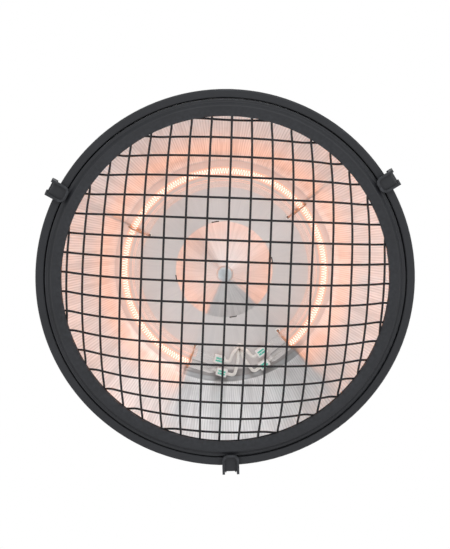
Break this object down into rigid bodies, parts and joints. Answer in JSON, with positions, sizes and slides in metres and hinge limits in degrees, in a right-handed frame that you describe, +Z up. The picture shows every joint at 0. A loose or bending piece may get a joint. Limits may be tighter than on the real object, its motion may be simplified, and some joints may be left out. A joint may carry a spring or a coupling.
{
  "type": "hanging infrared patio heater",
  "caption": "Round hanging infrared heater: domed black shade, latched wire guard, spun reflector with a cone, ring quartz lamps and a hanging bail.",
  "frame": {"origin": "centre of the hanging hole in the bail's crown", "axes": "+Z up along the hanging hole, the heater facing down; +X along the bail's pivot bolts; +Y towards the cable gland"},
  "size_m": [0.42, 0.4311, 0.3382],
  "materials": {
    "black_coat": "matte black powder coat",
    "guard_coat": "satin black powder coat",
    "wire_coat": "satin black paint on steel wire",
    "latch_coat": "matte black powder coat",
    "zinc_steel": "zinc plated",
    "reflector": "bright spun sheet with fine radial streaks",
    "bright_aluminium": "satin",
    "quartz": "clear quartz",
    "filament": "coiled resistance wire that glows in use",
    "ceramic": "unglazed",
    "lead_sleeving": "braided glass-fibre sleeving",
    "support_wire": "heat-toned wire",
    "black_plastic": "moulded",
    "black_rubber": "soft",
    "brass": "plain"
  },
  "bodies": {
    "hanger": {"bail_crown": "black_coat", "bail_leg_right": "black_coat", "bail_leg_left": "black_coat"},
    "heater": {"bail_bolts": "zinc_steel", "bail_nuts": "zinc_steel", "bail_spacers": "zinc_steel", "bail_washers": "zinc_steel", "cap_gasket": "black_rubber", "cap_screws": "zinc_steel", "cone_nose": "bright_aluminium", "gland_body": "black_plastic", "gland_locknut": "black_plastic", "gland_nut": "black_plastic", "gland_seal": "black_rubber", "guard_clamp_ring": "guard_coat", "guard_ring": "guard_coat", "guard_wires_back": "wire_coat", "guard_wires_front": "wire_coat", "lamp_inner_cap_left": "ceramic", "lamp_inner_cap_right": "ceramic", "lamp_inner_filament": "filament", "lamp_inner_lead_left": "lead_sleeving", "lamp_inner_lead_right": "lead_sleeving", "lamp_inner_tube": "quartz", "lamp_outer_cap_left": "ceramic", "lamp_outer_cap_right": "ceramic", "lamp_outer_filament": "filament", "lamp_outer_lead_left": "lead_sleeving", "lamp_outer_lead_right": "lead_sleeving", "lamp_outer_tube": "quartz", "lamp_support_1": "support_wire", "lamp_support_2": "support_wire", "lamp_support_3": "support_wire", "lamp_support_4": "support_wire", "latch_bracket_1": "latch_coat", "latch_bracket_2": "latch_coat", "latch_bracket_3": "latch_coat", "latch_pin_1": "latch_coat", "latch_pin_2": "latch_coat", "latch_pin_3": "latch_coat", "latch_rivets": "zinc_steel", "lead_bush": "ceramic", "lead_sleeve": "lead_sleeving", "neck_housing": "black_coat", "neck_screws": "zinc_steel", "plate_rivets": "reflector", "reflector_bowl": "reflector", "reflector_cone": "reflector", "reflector_plate": "reflector", "reflector_screws": "zinc_steel", "seat_ring": "guard_coat", "shade": "black_coat", "sleeve_grommet": "black_rubber", "terminal_block": "black_plastic", "terminal_screws": "brass", "top_cap": "black_coat"},
    "latch_1": {"latch_1": "latch_coat"},
    "latch_2": {"latch_2": "latch_coat"},
    "latch_3": {"latch_3": "latch_coat"}
  },
  "joints": [
    {"name": "hang_swing", "type": "hinge", "parent": "hanger", "child": "heater", "pos_m": [0, 0, -0.1], "axis": [1, 0, 0], "range_deg": [-90, 90]},
    {"name": "latch_1_open", "type": "hinge", "parent": "heater", "child": "latch_1", "pos_m": [0.00645, 0.21725, -0.2812], "axis": [0.9996, -0.0297, 0], "range_deg": [0, 100]},
    {"name": "latch_2_open", "type": "hinge", "parent": "heater", "child": "latch_2", "pos_m": [-0.19137, -0.10304, -0.2812], "axis": [-0.4741, 0.8805, 0], "range_deg": [0, 100]},
    {"name": "latch_3_open", "type": "hinge", "parent": "heater", "child": "latch_3", "pos_m": [0.18492, -0.11421, -0.2812], "axis": [-0.5255, -0.8508, 0], "range_deg": [0, 100]}
  ]
}
